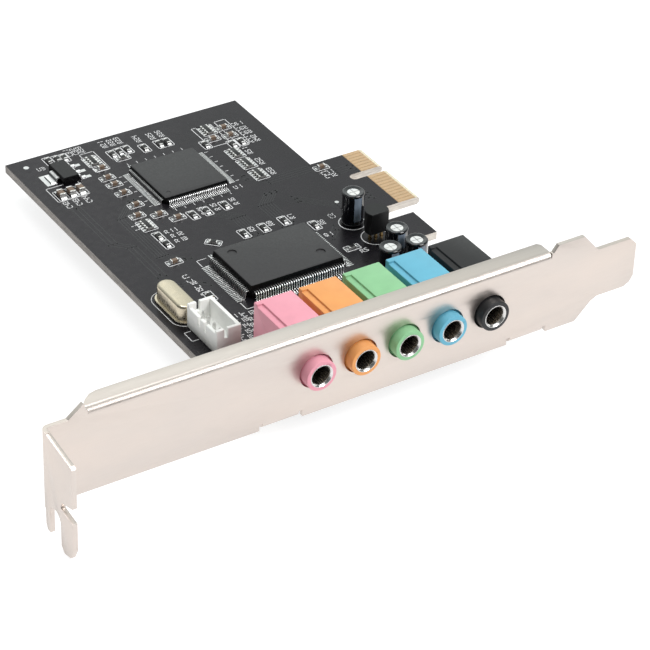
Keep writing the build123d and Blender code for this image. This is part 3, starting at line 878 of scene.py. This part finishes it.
for node, name in (("tall_capacitor", "tall_can"), ("short_capacitors", "short_cans")):
    cans = Shape()
    for block in blocks(node):
        radial_can(cans, block)
    cans.build(name, [SLEEVE, FOIL, STRIPE], [node], crease=40)


# Transistor

low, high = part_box("transistor_body")
case_r = (high.x - low.x) / 2
case_centre = ((low.x + high.x) / 2, high.y - case_r)
case_front = low.y - case_centre[1]


def half_round(inset):
    """Round body cut by a flat front."""
    r = case_r - inset
    edge = math.degrees(math.asin((case_front + inset) / r))
    return arc(r, edge, 180 - edge, 28)


transistor = Shape()
transistor.stack(case_centre, half_round, [
    (low.z, 0.25 * MM), (low.z + 0.15 * MM, 0.1 * MM), (low.z + 1.6 * MM, 0),
    (high.z - 0.09 * MM, 0.01 * MM), (high.z, 0.07 * MM),
])
transistor.build("transistor_case", [BLACK], ["transistor_body"], crease=30)


# Chip parts with plated ends and solder fillets

# Shares of a chip's length, half width or height
CAP_SHARE = 0.18
BODY_SHARE = 0.94
BODY_HIGH = 0.93
GLAZE_SHARE = 0.9
GLAZE_LOW = 0.9
FILLET_HIGH = 0.7
FILLET_CURVE = [(0, 1), (0.25, 0.45), (0.55, 0.15), (1, 0.02)]
ARRAY_HIGH = 0.95
ARRAY_GLAZE_SHARE = 0.55
CASTLE_IN = 0.6
CASTLE_HIGH = 0.97
CASTLE_PAD_IN = 0.7

CAP_EDGE = 0.07 * MM
BODY_LIFT = 0.03 * MM
BODY_EDGE = 0.06 * MM
GLAZE_EDGE = 0.02 * MM
FILLET_REACH = 0.22 * MM
PAD_OUT = 0.12 * MM
PAD_IN = 0.4 * MM
ARRAY_COUNT = 4
ARRAY_LIFT = 0.02 * MM
ARRAY_EDGE = 0.05 * MM
ARRAY_MARGIN = 0.1 * MM
CASTLE_HALF = 0.22 * MM
CASTLE_PAD_OUT = 0.45 * MM
CASTLE_PAD_W = 0.5 * MM
CHIP_CREASE = 45


def soft_box(shape, block, start, end, half, low, high, edge, mark):
    """Bar along a block, its long and top edges eased."""
    rings = []
    for z, inset in ((low, 0), (high - edge, 0), (high - 0.3 * edge, 0.3 * edge), (high, edge)):
        corners = rectangle(start + inset, -half + inset, end - inset, half - inset)
        rings.append([block.at(a, b, z) for a, b in corners])
    shape.loft(rings, mark)


def fillet(shape, block, end, half, height, mark):
    """Solder drawn up the end of a part, hollow between pad and plating."""
    rings = []
    for share, level in FILLET_CURVE:
        a = end + math.copysign(share * FILLET_REACH, end)
        w = half * (1 - 0.1 * share)
        z = level * height
        rings.append([block.at(a, b, c) for b, c in ((-w, 0), (w, 0), (0.95 * w, z), (-0.95 * w, z))])
    shape.loft(rings, mark)


def chip_part(shape, block, marks):
    """Body, two plated ends and their solder; marks are for body, plating, solder and top."""
    end, half, height = block.length / 2, block.width / 2, block.size.z
    cap = CAP_SHARE * block.length
    body, plating, solder, top = marks
    inner, high = end - cap / 2, BODY_HIGH * height
    soft_box(shape, block, -inner, inner, BODY_SHARE * half, BODY_LIFT, high, BODY_EDGE, body)
    if top is not None:
        inner, low = end - cap, GLAZE_LOW * height
        soft_box(shape, block, -inner, inner, GLAZE_SHARE * half, low, height, GLAZE_EDGE, top)
    for sign in (-1, 1):
        first, last = sorted((sign * end, sign * (end - cap)))
        soft_box(shape, block, first, last, half, 0, height, CAP_EDGE, plating)
        fillet(shape, block, sign * end, half, FILLET_HIGH * height, solder)
        pad(block.at(sign * (end + PAD_OUT), 0), block.at(sign * (end - PAD_IN), 0), block.width)


def chip_array(shape, block):
    """Resistors side by side in one body, with plated castles down both long sides."""
    end, half, height = block.length / 2, block.width / 2, block.size.z
    inner, high = half - ARRAY_MARGIN, ARRAY_HIGH * height
    soft_box(shape, block, -end, end, inner, ARRAY_LIFT, high, ARRAY_EDGE, 0)
    inner, low = end - ARRAY_MARGIN, GLAZE_LOW * height
    soft_box(shape, block, -inner, inner, ARRAY_GLAZE_SHARE * half, low, height, GLAZE_EDGE, 3)
    for i in range(ARRAY_COUNT):
        place = (i - (ARRAY_COUNT - 1) / 2) * block.length / ARRAY_COUNT
        for side in (-half, half):
            first, last = sorted((side, CASTLE_IN * side))
            corners = rectangle(place - CASTLE_HALF, first, place + CASTLE_HALF, last)
            shape.loft([[block.at(a, b, z) for a, b in corners] for z in (0, CASTLE_HIGH * height)], 1)
            tip = block.at(place, side + math.copysign(CASTLE_PAD_OUT, side))
            pad(tip, block.at(place, CASTLE_PAD_IN * side), CASTLE_PAD_W)


# White print: outlines round the parts, part numbers, corner marks, rings and ticks

INK_W = 0.15 * MM
LETTER_W = 0.16 * MM
TICK_W = 0.12 * MM
TICK_L = 0.6 * MM
TICK_STEP = 2.0 * MM
TICK_GAP = Vector((1.2 * MM, 1.1 * MM))
RING_GAP = 0.3 * MM
RING_W = 0.2 * MM
CRYSTAL_GAP = 0.48 * MM
CHIP_BOX = (0.75 * MM, 0.45 * MM)
ARRAY_BOX = (0.3 * MM, 0.7 * MM)
silk = Shape()


def ink_path(points, closed=False, width=INK_W):
    """White line through flat points."""
    ends = points[1:] + points[:1] if closed else points[1:]
    for start, end in zip(points, ends):
        silk.line(start, end, width, TOP, TOP + INK_H)


def ink_box(block, margins):
    """White outline round a part, with margins along and across it."""
    along, across = block.length / 2 + margins[0], block.width / 2 + margins[1]
    ink_path([block.at(a, b).to_2d() for a, b in rectangle(-along, -across, along, across)], True)


for node, name, marks, finishes, slot in (
    ("chip_resistors", "resistor_chips", (0, 1, 2, 3), [ALUMINA, TIN, SOLDER, GLAZE], "resistor_dark"),
    ("chip_capacitors", "capacitor_chips", (0, 1, 2, None), [CERAMIC, TIN, SOLDER], "ceramic_tan"),
    ("filter_capacitors", "filter_chips", (0, 1, 2, None), [CERAMIC, TIN, SOLDER], "ceramic_tan"),
):
    chips = Shape()
    for block in blocks(node):
        chip_part(chips, block, marks)
        ink_box(block, CHIP_BOX)
    chips.build(name, finishes, [node], CHIP_CREASE)
arrays = Shape()
for block in blocks("resistor_arrays"):
    chip_array(arrays, block)
    ink_box(block, ARRAY_BOX)
arrays.build(
    "array_chips", [ALUMINA, TIN, SOLDER, GLAZE], ["resistor_arrays"], CHIP_CREASE
)

# Letters are made of strokes in a unit square
STROKES = {
    "a": ((0, 1), (1, 1)), "b": ((1, 1), (1, 0.5)), "c": ((1, 0.5), (1, 0)), "d": ((0, 0), (1, 0)),
    "e": ((0, 0), (0, 0.5)), "f": ((0, 0.5), (0, 1)), "g": ((0, 0.5), (1, 0.5)), "k": ((0.4, 0.5), (1, 0)),
}
GLYPHS = {
    "0": "abcdef", "1": "bc", "2": "abged", "3": "abgcd", "4": "fgbc", "5": "afgcd", "6": "afgedc",
    "7": "abc", "8": "abcdefg", "9": "abcdfg", "C": "afed", "R": "eabfgk", "U": "bcdef", "L": "fed",
    "Q": "abcdefk",
}
LETTER_SIZE = (0.58 * MM, 1.0 * MM)
LETTER_STEP = 0.9 * MM


def label(text, x, y, degrees):
    """Small part number, centred on a place given in millimetres."""
    width, height = LETTER_SIZE
    for i, letter in enumerate(text):
        shift = (i - (len(text) - 1) / 2) * LETTER_STEP
        for stroke in GLYPHS[letter]:
            ends = [(shift + (u - 0.5) * width, (v - 0.5) * height) for u, v in STROKES[stroke]]
            ink_path(spun(ends, degrees, (x * MM, y * MM)), width=LETTER_W)


UPRIGHT_LABELS = [
    ("C42", -25.4, 76.3), ("C43", -23.3, 76.3), ("C44", -21.2, 76.3), ("C31", -16.5, 93.0),
    ("C32", -15.2, 93.0), ("R33", -13.9, 93.0), ("R21", -9.1, 92.5), ("R22", -7.4, 92.5),
    ("R23", -5.8, 92.5), ("R24", -2.3, 91.2), ("R25", 0.6, 90.8), ("R26", 2.6, 90.8),
    ("R14", -4.4, 62.0), ("R15", -1.5, 62.0), ("R16", 2.6, 62.0), ("R9", 0.4, 51.9),
    ("R8", 4.5, 51.9), ("R7", 9.2, 52.0), ("R6", 13.2, 47.5), ("R41", 16.8, 80.2),
    ("R42", 18.3, 80.2), ("R51", 14.5, 76.7), ("R52", 14.5, 72.2), ("R53", 14.5, 68.0),
    ("C2", 16.0, 48.4), ("L1", -18.1, 62.9), ("C17", -18.3, 43.3), ("C18", -18.0, 40.9),
    ("C19", -18.2, 38.4),
]
LEVEL_LABELS = [
    ("U3", -23.8, 90.3), ("C61", 17.8, 86.7), ("C62", 17.8, 84.7), ("C63", 17.8, 82.9),
    ("C71", 23.7, 62.2), ("C72", 23.7, 60.8), ("Q1", 12.0, 43.3), ("R5", 14.9, 35.4),
    ("U1", 5.9, 66.1), ("R11", -13.0, 58.9), ("R12", -12.6, 57.2), ("R13", -12.8, 55.3),
    ("C11", -17.0, 28.7), ("C12", -14.4, 28.2), ("C13", -16.6, 26.9), ("R17", -14.0, 26.5),
    ("C14", -17.4, 25.2), ("R18", -14.7, 24.8), ("C15", -17.9, 23.5), ("R19", -15.2, 23.1),
    ("C16", -18.4, 21.9), ("R20", -15.7, 21.5),
]
for degrees, labels in ((90, UPRIGHT_LABELS), (0, LEVEL_LABELS)):
    for text, x, y in labels:
        label(text, x, y, degrees)

# Corner marks, and frames by two opposite corners, in millimetres
CORNERS = [
    [(-12.0, 47.5), (-14.0, 47.5), (-14.0, 45.4)],
    [(-14.0, 31.7), (-14.0, 29.5), (-12.4, 29.5)],
    [(-26.2, 28.5), (-27.5, 28.5), (-27.5, 25.6), (-26.2, 25.6)],
]
FRAMES = [
    (-15.0, 84.1, -12.0, 91.3),
    (-26.5, 77.9, -19.8, 83.2),
    (8.9, 81.2, 13.2, 89.2),
    (14.2, 79.0, 16.7, 89.4),
]
for points in CORNERS:
    ink_path([(x * MM, y * MM) for x, y in points])
for corners in FRAMES:
    ink_path(rectangle(*(place * MM for place in corners)), True)

low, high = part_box("crystal_base")
inner, outer = (
    slotted(high.y - low.y + 2 * gap, high.x - low.x + 2 * gap)
    for gap in (CRYSTAL_GAP, CRYSTAL_GAP + INK_W)
)
silk.band((low + high) / 2, inner, outer, TOP, TOP + INK_H)
for node in ("tall_capacitor", "short_capacitors", "transistor_body"):
    for block in blocks(node):
        r = block.size.x / 2
        inner, outer = circle(r + RING_GAP), circle(r + RING_GAP + RING_W)
        silk.band((block.centre.x, block.high.y - r), inner, outer, TOP, TOP + INK_H)

low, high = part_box("bridge_chip_leads")
middle = ((low + high) / 2).to_2d()
reach = ((high - low) / 2).to_2d() + TICK_GAP
for i in range(-3, 4):
    for sign in (-1, 1):
        start = middle + Vector((i * TICK_STEP, sign * reach.y))
        ink_path([start, start + Vector((0, sign * TICK_L))], width=TICK_W)
        start = middle + Vector((sign * reach.x, i * TICK_STEP))
        ink_path([start, start + Vector((sign * TICK_L, 0))], width=TICK_W)
silk.build("silkscreen", [INK], (), crease=30)


# Copper under the lacquer: runs of parallel traces with a via at each end

TRACE_W = 0.2 * MM
VIA_R = 0.27 * MM
VIA_STAGGER = 0.9 * MM
ALONG_X, ALONG_Y = (1, 0), (0, 1)
copper = Shape()


def run(points, count, pitch, spread, face):
    """Parallel traces through places in millimetres, on the upper or lower face."""
    low, high = (TOP, TOP + TRACE_H) if face == "upper" else (UNDER - TRACE_H, UNDER)
    for i in range(count):
        shift = Vector(spread) * (i - (count - 1) / 2) * pitch
        path = [(Vector(p) + shift) * MM for p in points]
        for start, end in zip(path, path[1:]):
            copper.line(start, end, TRACE_W, low, high)
        for end, before in ((path[0], path[1]), (path[-1], path[-2])):
            stagger = (before - end).normalized() * (i % 2) * VIA_STAGGER
            copper.turned([(VIA_R, low), (VIA_R, high)], (end + stagger).to_3d(), count=12)


run([(-3.0, 63.8), (-3.0, 60.2), (0.5, 56.7), (0.5, 49.2)], 6, 0.6, ALONG_X, "upper")
run([(8.4, 68.6), (12.0, 65.0), (22.0, 65.0), (25.5, 61.5), (29.4, 61.5)], 4, 0.7, ALONG_Y, "upper")
run([(14.6, 44.6), (12.2, 42.2), (11.6, 42.2)], 3, 0.9, ALONG_Y, "upper")
run([(-15.6, 39.6), (-18.0, 42.0), (-20.2, 42.0), (-22.0, 43.8)], 2, 0.8, ALONG_Y, "upper")
run([(-24.6, 75.2), (-24.6, 60.0), (-22.0, 57.4), (-22.0, 46.0)], 3, 0.9, ALONG_X, "upper")
run([(-13.6, 72.0), (-18.6, 67.0), (-18.6, 52.0), (-15.4, 48.8)], 5, 0.6, ALONG_X, "upper")
run([(10.6, 61.5), (7.2, 58.1), (7.2, 49.4)], 6, 0.6, ALONG_X, "upper")
run([(13.0, 57.0), (19.0, 51.0), (26.6, 51.0)], 5, 0.6, ALONG_Y, "upper")
run([(-18.0, 15.6), (-18.0, 22.0), (-9.0, 31.0), (-9.0, 45.0)], 5, 0.9, ALONG_X, "lower")
run([(0.0, 15.6), (0.0, 47.0), (-4.0, 51.0), (-4.0, 64.0)], 8, 0.7, ALONG_X, "lower")
run([(18.0, 15.6), (18.0, 22.0), (9.0, 31.0), (9.0, 48.0)], 5, 0.9, ALONG_X, "lower")
run([(29.0, 56.0), (16.0, 56.0), (8.0, 64.0), (8.0, 78.0)], 6, 0.7, ALONG_Y, "lower")
run([(-24.0, 46.0), (-24.0, 78.0), (-18.0, 84.0), (-18.0, 91.0)], 4, 0.9, ALONG_X, "lower")
run([(-12.0, 88.0), (14.0, 88.0)], 4, 1.0, ALONG_Y, "lower")
copper.build("traces", [COPPER], (), crease=30)


# Pan-head screws that hold the board on the bracket's two lugs

SCREW_X = {"left": -24.85 * MM, "right": 26.5 * MM}
SCREW_Y = 5.6 * MM
LUG_T = 0.86 * MM
HEAD_R = 2.5 * MM
HEAD_H = 1.5 * MM
HEAD = [
    (HEAD_R - 0.1 * MM, TOP),
    (HEAD_R, TOP + 0.12 * MM),
    (HEAD_R, TOP + 0.45 * HEAD_H),
    (0.92 * HEAD_R, TOP + 0.72 * HEAD_H),
    (0.72 * HEAD_R, TOP + 0.92 * HEAD_H),
    (0.4 * HEAD_R, TOP + HEAD_H),
]
THREAD_TOP = UNDER - LUG_T
THREAD_PITCH = 0.4 * MM
THREAD_TURNS = 4
THREAD_L = 1.65 * MM
ROOT_R = 1.3 * MM
CREST_R = 1.5 * MM
POINT_R = 0.9 * MM
POINT_L = 2.0 * MM
THREAD = [(ROOT_R, THREAD_TOP)]
for winding in range(THREAD_TURNS):
    level = THREAD_TOP - winding * THREAD_PITCH
    THREAD += [(ROOT_R, level - THREAD_PITCH / 8), (CREST_R, level - THREAD_PITCH / 2)]
THREAD += [(ROOT_R, THREAD_TOP - THREAD_L), (POINT_R, THREAD_TOP - POINT_L)]
ARM = 1.35 * MM
ARM_HALF = 0.28 * MM
CROSS = []
for quarter in range(4):
    CROSS += spun([(ARM, -ARM_HALF), (ARM, ARM_HALF), (ARM_HALF, ARM_HALF)], 90 * quarter)

for name, x in SCREW_X.items():
    screw = Shape()
    screw.turned(HEAD, (x, SCREW_Y, 0), count=40)
    screw.turned(THREAD, (x, SCREW_Y, 0))
    piece = screw.build("screw_" + name, [ZINC], (), crease=30)
    recess = Shape()
    recess.loft([
        [(x + u * share, SCREW_Y + v * share, z) for u, v in CROSS]
        for share, z in ((0.6, TOP + 0.3 * HEAD_H), (1.0, TOP + 1.1 * HEAD_H))
    ])
    cut(piece, recess)


# Bare metal on the board, and joints under it

FIDUCIALS = [(-26.1, 92.1, 0.55), (19.5, 52.1, 0.42)]
for x, y, r in FIDUCIALS:
    pads.turned([(r * MM, TOP), (r * MM, TOP + PAD_H)], (x * MM, y * MM, 0), count=24)
pads.build("solder_pads", [SOLDER], (), crease=30)

JOINT_W = 0.6 * MM
JOINT_EDGE = 0.08 * MM
joints = Shape()
for node in ("jack_pins", "capacitor_wires", "crystal_wires", "transistor_legs", "header_pins"):
    for block in blocks(node):
        drop = UNDER - block.low.z
        cone = [(0.5, 0.3 * drop), (0.3, 0.6 * drop), (0.12, 0.85 * drop)]
        rings = []
        for share, depth in [(0.85, 0), (0.82, JOINT_EDGE)] + cone:
            a, b = block.size.x / 2 + share * JOINT_W, block.size.y / 2 + share * JOINT_W
            rings.append([
                (block.centre.x + a * u, block.centre.y + b * v, UNDER - depth) for u, v in circle(1, 20)
            ])
        joints.loft(rings)
joints.build("solder_joints", [SOLDER], (), crease=40)


# Stage, light and camera

FLOOR_HALF = 3.0
FLOOR_DROP = 0.03 * MM
floor_z = cad_box[0][2] - FLOOR_DROP
floor_mesh = bpy.data.meshes.new("floor")
floor_corners = rectangle(-FLOOR_HALF, -FLOOR_HALF, FLOOR_HALF, FLOOR_HALF)
floor_mesh.from_pydata([(x, y, floor_z) for x, y in floor_corners], [], [(0, 1, 2, 3)])
floor = link(bpy.data.objects.new("floor", floor_mesh))
paper = Finish("paper", (0.34, 0.337, 0.34), 0.6, Specular_IOR_Level=0.2, Emission_Strength=0.82)
paper.mottled(40 * MM, 0.01).grainy(1.5 * MM, 0.01 * MM, 0.1)
floor_mesh.materials.append(paper.material)


def area_light(name, place, target, size, power):
    data = bpy.data.lights.new(name, "AREA")
    data.shape = "RECTANGLE"
    data.size, data.size_y = size
    data.energy = power
    lamp = link(bpy.data.objects.new(name, data))
    lamp.location = place
    lamp.rotation_euler = (Vector(target) - Vector(place)).to_track_quat("-Z", "Y").to_euler()


area_light("key", (0.34, -0.57, 0.68), (0, 0.03, 0), size=(0.5, 0.5), power=7.0)
area_light("overhead", (-0.12, 0.15, 0.95), (0, 0.03, 0), size=(0.6, 0.6), power=3.8)
area_light("back", (0.24, 0.80, 0.55), (0, 0.05, 0), size=(0.34, 0.4), power=0.2)

# The sky brightens towards one side: how far a direction points that way sets its strength
SKY_SIDE = Vector((0.36, 0.80, 0.48)).normalized()
SKY_RAMP = {"From Min": 0.3, "From Max": 1.0, "To Min": 0.13, "To Max": 1.06}
world = bpy.data.worlds.new("studio")
world.use_nodes = True
bpy.context.scene.world = world
add_node, add_link = world.node_tree.nodes.new, world.node_tree.links.new
sky = world.node_tree.nodes["Background"]
sky.inputs["Color"].default_value = (0.94, 1.0, 0.975, 1)
direction = add_node("ShaderNodeTexCoord").outputs["Generated"]
toward = add_node("ShaderNodeVectorMath")
toward.operation = "DOT_PRODUCT"
toward.inputs[1].default_value = SKY_SIDE
ramp = add_node("ShaderNodeMapRange")
for socket, value in SKY_RAMP.items():
    ramp.inputs[socket].default_value = value
add_link(direction, toward.inputs[0])
add_link(toward.outputs["Value"], ramp.inputs["Value"])
add_link(ramp.outputs["Result"], sky.inputs["Strength"])

bpy.context.scene.view_settings.view_transform = "Standard"

CAMERA_AT = Vector((-224.26, -314.07, 268.38)) * MM
CAMERA_RIGHT = Vector((0.84511, -0.53373, 0.03034))
CAMERA_UP = Vector((0.28196, 0.49324, 0.82293))
CAMERA_BACK = CAMERA_RIGHT.cross(CAMERA_UP)
lens = bpy.data.cameras.new("camera")
lens.sensor_width = 36
lens.lens = 150.64
lens.clip_start = 0.01
camera = link(bpy.data.objects.new("camera", lens))
turn = Matrix((CAMERA_RIGHT, CAMERA_UP, CAMERA_BACK)).transposed().to_4x4()
camera.matrix_world = Matrix.Translation(CAMERA_AT) @ turn
bpy.context.scene.camera = camera
